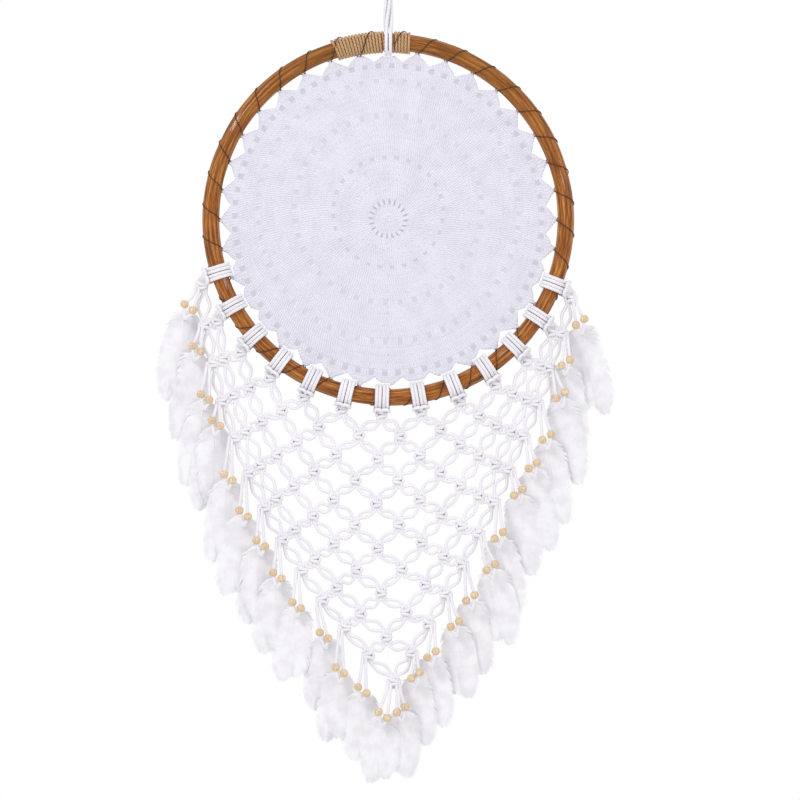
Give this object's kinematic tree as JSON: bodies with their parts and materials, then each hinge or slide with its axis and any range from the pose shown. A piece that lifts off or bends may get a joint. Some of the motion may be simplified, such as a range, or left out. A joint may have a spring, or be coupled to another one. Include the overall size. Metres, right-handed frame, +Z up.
{
  "type": "dream catcher",
  "caption": "Wall-hung dream catcher: a rattan hoop laced with a crocheted doily above a knotted cotton net fringed with wooden beads and feathers, on a rope loop.",
  "frame": {"origin": "the nail that the hanging loop rests on, at the top of the inside of the loop", "axes": "+Z up, +X to the right seen from the front, the front faces -Y"},
  "size_m": [0.4317, 0.033, 0.8027],
  "materials": {
    "rattan": "varnished rattan cane, glossy",
    "jute": "twisted jute twine, dull",
    "thread": "waxed brown thread",
    "crochet": "white crochet cotton",
    "cotton": "soft white cotton macrame cord",
    "bead": "natural pale wood, satin",
    "feather": "white goose feathers"
  },
  "bodies": {
    "loop": {"hanging_loop": "cotton"},
    "rope": {"hanging_rope": "cotton"},
    "hanger": {"hanger_hitch": "cotton"},
    "catcher": {"rattan_hoop": "rattan", "jute_wrap": "jute", "lashing_thread": "thread", "crochet_doily": "crochet", "macrame_net": "cotton"},
    "drop_L01": {"bead_drop_L01": "bead", "feathers_L01": "feather"},
    "drop_L02": {"bead_drop_L02": "bead", "feathers_L02": "feather"},
    "drop_L03": {"bead_drop_L03": "bead", "feathers_L03": "feather"},
    "drop_L04": {"bead_drop_L04": "bead", "feathers_L04": "feather"},
    "drop_L05": {"bead_drop_L05": "bead", "feathers_L05": "feather"},
    "drop_L06": {"bead_drop_L06": "bead", "feathers_L06": "feather"},
    "drop_L07": {"bead_drop_L07": "bead", "feathers_L07": "feather"},
    "drop_L08": {"bead_drop_L08": "bead", "feathers_L08": "feather"},
    "drop_L09": {"bead_drop_L09": "bead", "feathers_L09": "feather"},
    "drop_L10": {"bead_drop_L10": "bead", "feathers_L10": "feather"},
    "drop_L11": {"bead_drop_L11": "bead", "feathers_L11": "feather"},
    "drop_L12": {"bead_drop_L12": "bead", "feathers_L12": "feather"},
    "drop_L13": {"bead_drop_L13": "bead", "feathers_L13": "feather"},
    "drop_R01": {"bead_drop_R01": "bead", "feathers_R01": "feather"},
    "drop_R02": {"bead_drop_R02": "bead", "feathers_R02": "feather"},
    "drop_R03": {"bead_drop_R03": "bead", "feathers_R03": "feather"},
    "drop_R04": {"bead_drop_R04": "bead", "feathers_R04": "feather"},
    "drop_R05": {"bead_drop_R05": "bead", "feathers_R05": "feather"},
    "drop_R06": {"bead_drop_R06": "bead", "feathers_R06": "feather"},
    "drop_R07": {"bead_drop_R07": "bead", "feathers_R07": "feather"},
    "drop_R08": {"bead_drop_R08": "bead", "feathers_R08": "feather"},
    "drop_R09": {"bead_drop_R09": "bead", "feathers_R09": "feather"},
    "drop_R10": {"bead_drop_R10": "bead", "feathers_R10": "feather"},
    "drop_R11": {"bead_drop_R11": "bead", "feathers_R11": "feather"},
    "drop_R12": {"bead_drop_R12": "bead", "feathers_R12": "feather"},
    "drop_R13": {"bead_drop_R13": "bead", "feathers_R13": "feather"}
  },
  "joints": [
    {"name": "side_swing", "type": "hinge", "parent": "loop", "child": "rope", "pos_m": [0, 0, -0.05869], "axis": [0, 1, 0], "range_deg": [-12, 12]},
    {"name": "rope_twist", "type": "hinge", "parent": "rope", "child": "hanger", "pos_m": [0, 0, -0.0842], "axis": [0, 0, 1], "range_deg": [-90, 90]},
    {"name": "hoop_tilt", "type": "hinge", "parent": "hanger", "child": "catcher", "pos_m": [0, 0, -0.09775], "axis": [1, 0, 0], "range_deg": [-25, 25]},
    {"name": "swing_L01", "type": "hinge", "parent": "catcher", "child": "drop_L01", "pos_m": [-0.17985, 0, -0.32785], "axis": [0, 1, 0], "range_deg": [-2.5, 12]},
    {"name": "swing_L02", "type": "hinge", "parent": "catcher", "child": "drop_L02", "pos_m": [-0.17646, 0, -0.36461], "axis": [0, 1, 0], "range_deg": [-2.5, 12]},
    {"name": "swing_L03", "type": "hinge", "parent": "catcher", "child": "drop_L03", "pos_m": [-0.16958, 0, -0.40098], "axis": [0, 1, 0], "range_deg": [-2.5, 12]},
    {"name": "swing_L04", "type": "hinge", "parent": "catcher", "child": "drop_L04", "pos_m": [-0.16021, 0, -0.43661], "axis": [0, 1, 0], "range_deg": [-2.5, 12]},
    {"name": "swing_L05", "type": "hinge", "parent": "catcher", "child": "drop_L05", "pos_m": [-0.14873, 0, -0.47117], "axis": [0, 1, 0], "range_deg": [-2.5, 12]},
    {"name": "swing_L06", "type": "hinge", "parent": "catcher", "child": "drop_L06", "pos_m": [-0.13538, 0, -0.50444], "axis": [0, 1, 0], "range_deg": [-2.5, 12]},
    {"name": "swing_L07", "type": "hinge", "parent": "catcher", "child": "drop_L07", "pos_m": [-0.12032, 0, -0.53625], "axis": [0, 1, 0], "range_deg": [-2.5, 12]},
    {"name": "swing_L08", "type": "hinge", "parent": "catcher", "child": "drop_L08", "pos_m": [-0.10367, 0, -0.56657], "axis": [0, 1, 0], "range_deg": [-2.5, 12]},
    {"name": "swing_L09", "type": "hinge", "parent": "catcher", "child": "drop_L09", "pos_m": [-0.08553, 0, -0.59544], "axis": [0, 1, 0], "range_deg": [-2.5, 12]},
    {"name": "swing_L10", "type": "hinge", "parent": "catcher", "child": "drop_L10", "pos_m": [-0.06597, 0, -0.62301], "axis": [0, 1, 0], "range_deg": [-2.5, 12]},
    {"name": "swing_L11", "type": "hinge", "parent": "catcher", "child": "drop_L11", "pos_m": [-0.04506, 0, -0.64952], "axis": [0, 1, 0], "range_deg": [-2.5, 12]},
    {"name": "swing_L12", "type": "hinge", "parent": "catcher", "child": "drop_L12", "pos_m": [-0.02285, 0, -0.67529], "axis": [0, 1, 0], "range_deg": [-2.5, 12]},
    {"name": "swing_L13", "type": "hinge", "parent": "catcher", "child": "drop_L13", "pos_m": [0.0006, 0, -0.70066], "axis": [0, 1, 0], "range_deg": [-2.5, 12]},
    {"name": "swing_R01", "type": "hinge", "parent": "catcher", "child": "drop_R01", "pos_m": [0.17561, 0, -0.33956], "axis": [0, -1, 0], "range_deg": [-2.5, 12]},
    {"name": "swing_R02", "type": "hinge", "parent": "catcher", "child": "drop_R02", "pos_m": [0.16718, 0, -0.3725], "axis": [0, -1, 0], "range_deg": [-2.5, 12]},
    {"name": "swing_R03", "type": "hinge", "parent": "catcher", "child": "drop_R03", "pos_m": [0.15625, 0, -0.40525], "axis": [0, -1, 0], "range_deg": [-2.5, 12]},
    {"name": "swing_R04", "type": "hinge", "parent": "catcher", "child": "drop_R04", "pos_m": [0.14412, 0, -0.43762], "axis": [0, -1, 0], "range_deg": [-2.5, 12]},
    {"name": "swing_R05", "type": "hinge", "parent": "catcher", "child": "drop_R05", "pos_m": [0.13113, 0, -0.46945], "axis": [0, -1, 0], "range_deg": [-2.5, 12]},
    {"name": "swing_R06", "type": "hinge", "parent": "catcher", "child": "drop_R06", "pos_m": [0.11748, 0, -0.50065], "axis": [0, -1, 0], "range_deg": [-2.5, 12]},
    {"name": "swing_R07", "type": "hinge", "parent": "catcher", "child": "drop_R07", "pos_m": [0.10326, 0, -0.53111], "axis": [0, -1, 0], "range_deg": [-2.5, 12]},
    {"name": "swing_R08", "type": "hinge", "parent": "catcher", "child": "drop_R08", "pos_m": [0.08856, 0, -0.56083], "axis": [0, -1, 0], "range_deg": [-2.5, 12]},
    {"name": "swing_R09", "type": "hinge", "parent": "catcher", "child": "drop_R09", "pos_m": [0.07343, 0, -0.58982], "axis": [0, -1, 0], "range_deg": [-2.5, 12]},
    {"name": "swing_R10", "type": "hinge", "parent": "catcher", "child": "drop_R10", "pos_m": [0.05792, 0, -0.61816], "axis": [0, -1, 0], "range_deg": [-2.5, 12]},
    {"name": "swing_R11", "type": "hinge", "parent": "catcher", "child": "drop_R11", "pos_m": [0.04206, 0, -0.64598], "axis": [0, -1, 0], "range_deg": [-2.5, 12]},
    {"name": "swing_R12", "type": "hinge", "parent": "catcher", "child": "drop_R12", "pos_m": [0.02588, 0, -0.67341], "axis": [0, -1, 0], "range_deg": [-2.5, 12]},
    {"name": "swing_R13", "type": "hinge", "parent": "catcher", "child": "drop_R13", "pos_m": [0.0094, 0, -0.70066], "axis": [0, -1, 0], "range_deg": [-2.5, 12]}
  ]
}
